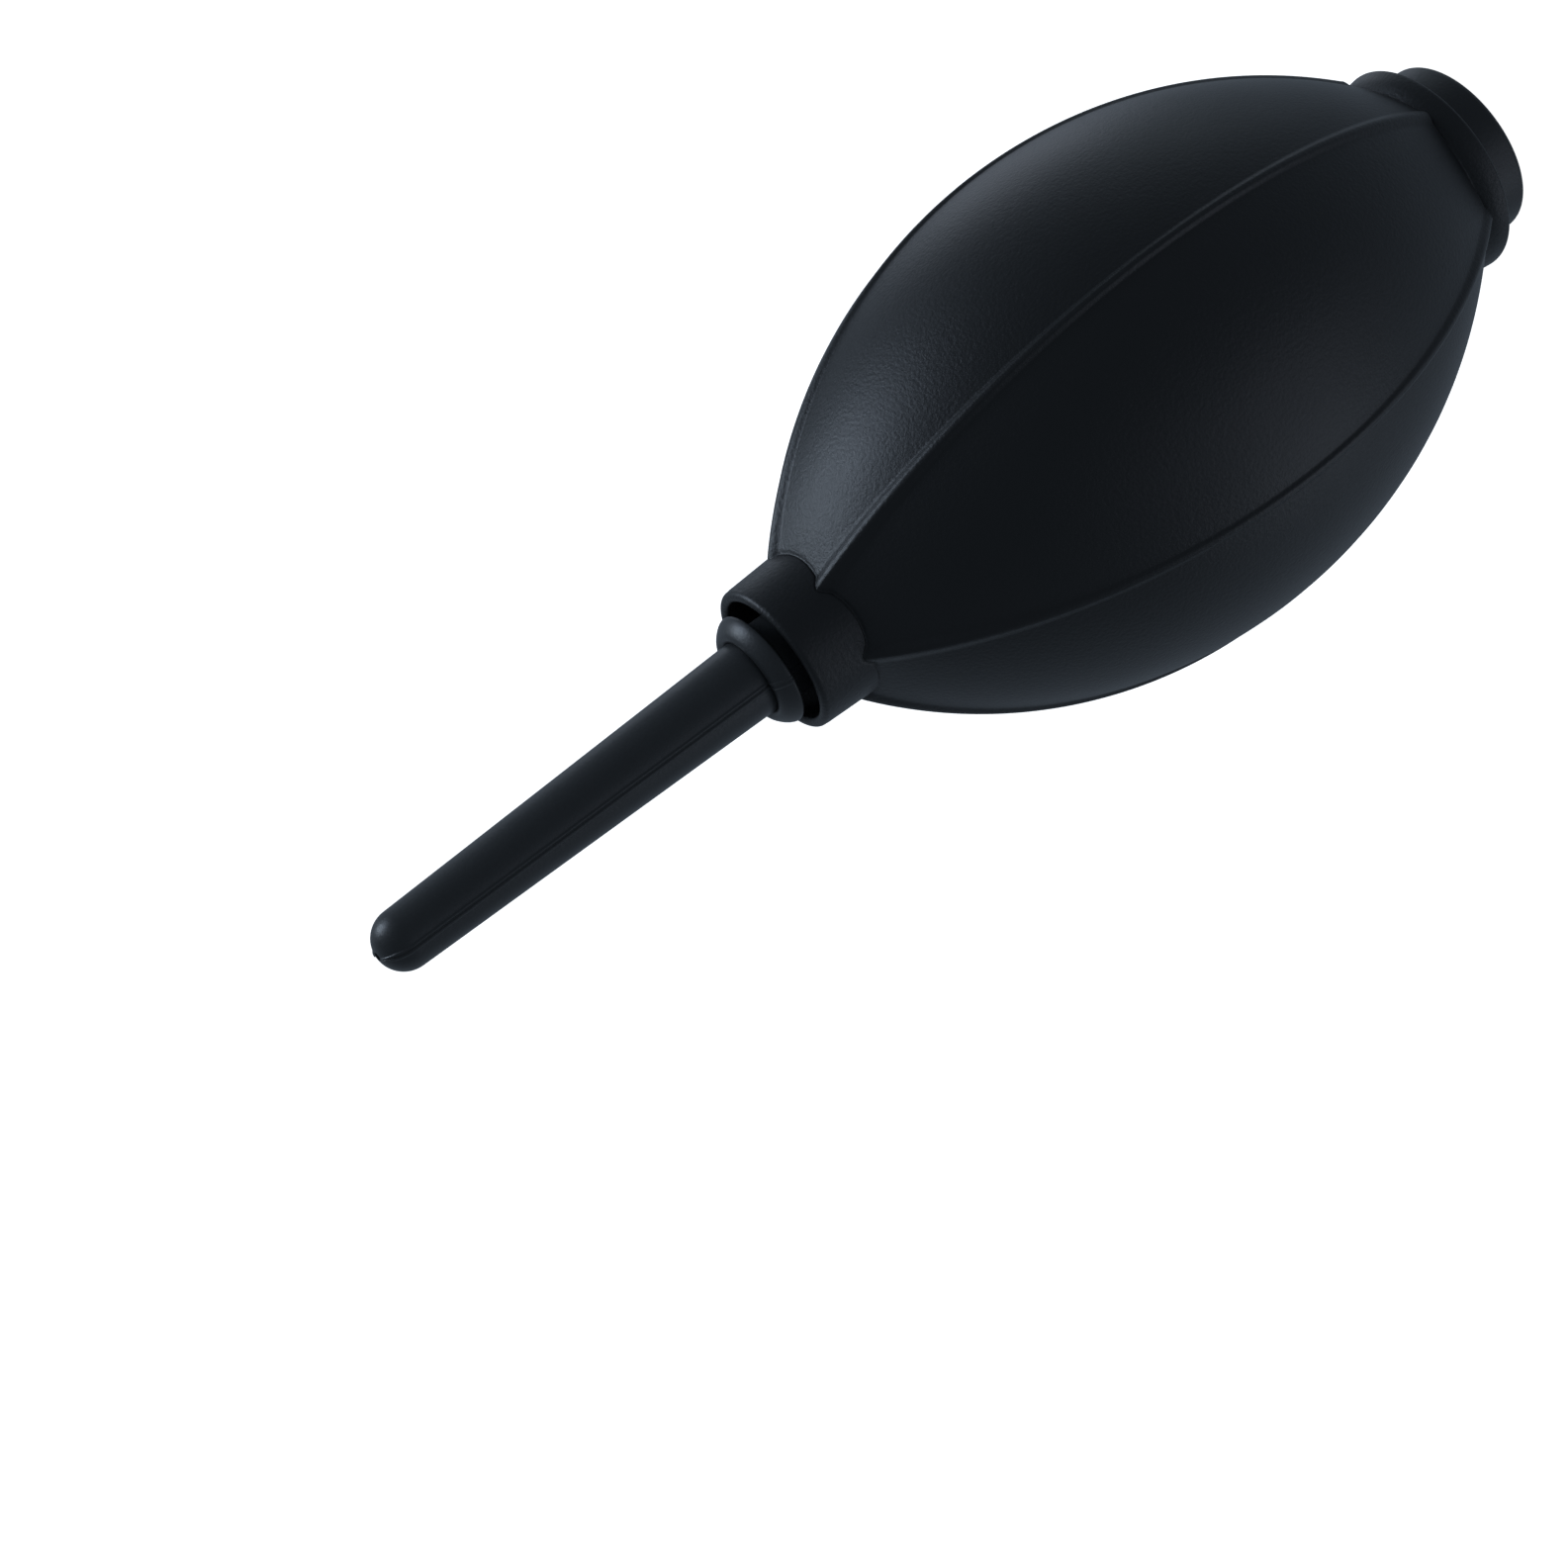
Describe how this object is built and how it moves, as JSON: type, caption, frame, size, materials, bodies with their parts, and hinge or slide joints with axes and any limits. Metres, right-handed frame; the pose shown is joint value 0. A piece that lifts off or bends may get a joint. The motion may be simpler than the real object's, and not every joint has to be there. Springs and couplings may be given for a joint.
{
  "type": "dust blower bulb",
  "caption": "Hand dust blower: a ribbed black rubber bulb with a neck cuff, a soft tapered nozzle that bends and turns, and a one-way air intake in its flat tail.",
  "frame": {"origin": "centre of the flat tail face that the blower stands on", "axes": "+Z along the bulb's axis from the tail to the nozzle's tip; -Y through the middle of the front panel; +X through a rib"},
  "size_m": [0.0556, 0.0546, 0.1474],
  "materials": {
    "bulb_rubber": "matte moulded black rubber with a fine grain, slightly bluish",
    "nozzle_rubber": "satin black soft rubber, smoother than the bulb",
    "valve_plastic": "satin moulded black plastic",
    "filter_foam": "open-cell dark grey foam",
    "valve_rubber": "smooth soft rubber"
  },
  "bodies": {
    "bulb": {"bulb_shell": "bulb_rubber", "valve_housing": "valve_plastic", "valve_retainer": "valve_plastic", "intake_grille": "valve_plastic", "dust_filter": "filter_foam"},
    "front_wall": {"squeeze_wall_front": "bulb_rubber"},
    "back_wall": {"squeeze_wall_back": "bulb_rubber"},
    "nozzle_base": {"nozzle_base": "nozzle_rubber"},
    "nozzle_tube": {"nozzle_tube": "nozzle_rubber"},
    "valve_disc": {"valve_disc": "valve_rubber"}
  },
  "joints": [
    {"name": "squeeze_front", "type": "slide", "parent": "bulb", "child": "front_wall", "axis": [0, 1, 0], "range_m": [0, 0.01], "stiffness_N_per_m": 750},
    {"name": "squeeze_back", "type": "slide", "parent": "bulb", "child": "back_wall", "axis": [0, -1, 0], "range_m": [0, 0.01], "stiffness_N_per_m": 750},
    {"name": "nozzle_swivel", "type": "hinge", "parent": "bulb", "child": "nozzle_base", "pos_m": [0, 0, 0.0954], "axis": [0, 0, 1], "continuous": true},
    {"name": "nozzle_bend", "type": "hinge", "parent": "nozzle_base", "child": "nozzle_tube", "pos_m": [0, 0, 0.102], "axis": [0, 1, 0], "range_deg": [-40, 40], "stiffness_Nm_per_rad": 0.08},
    {"name": "intake_valve_lift", "type": "slide", "parent": "bulb", "child": "valve_disc", "axis": [0, 0, 1], "range_m": [0, 0.0012]}
  ],
  "couplings": [
    {"joint": "squeeze_back", "follows": "squeeze_front", "ratio": 1}
  ]
}
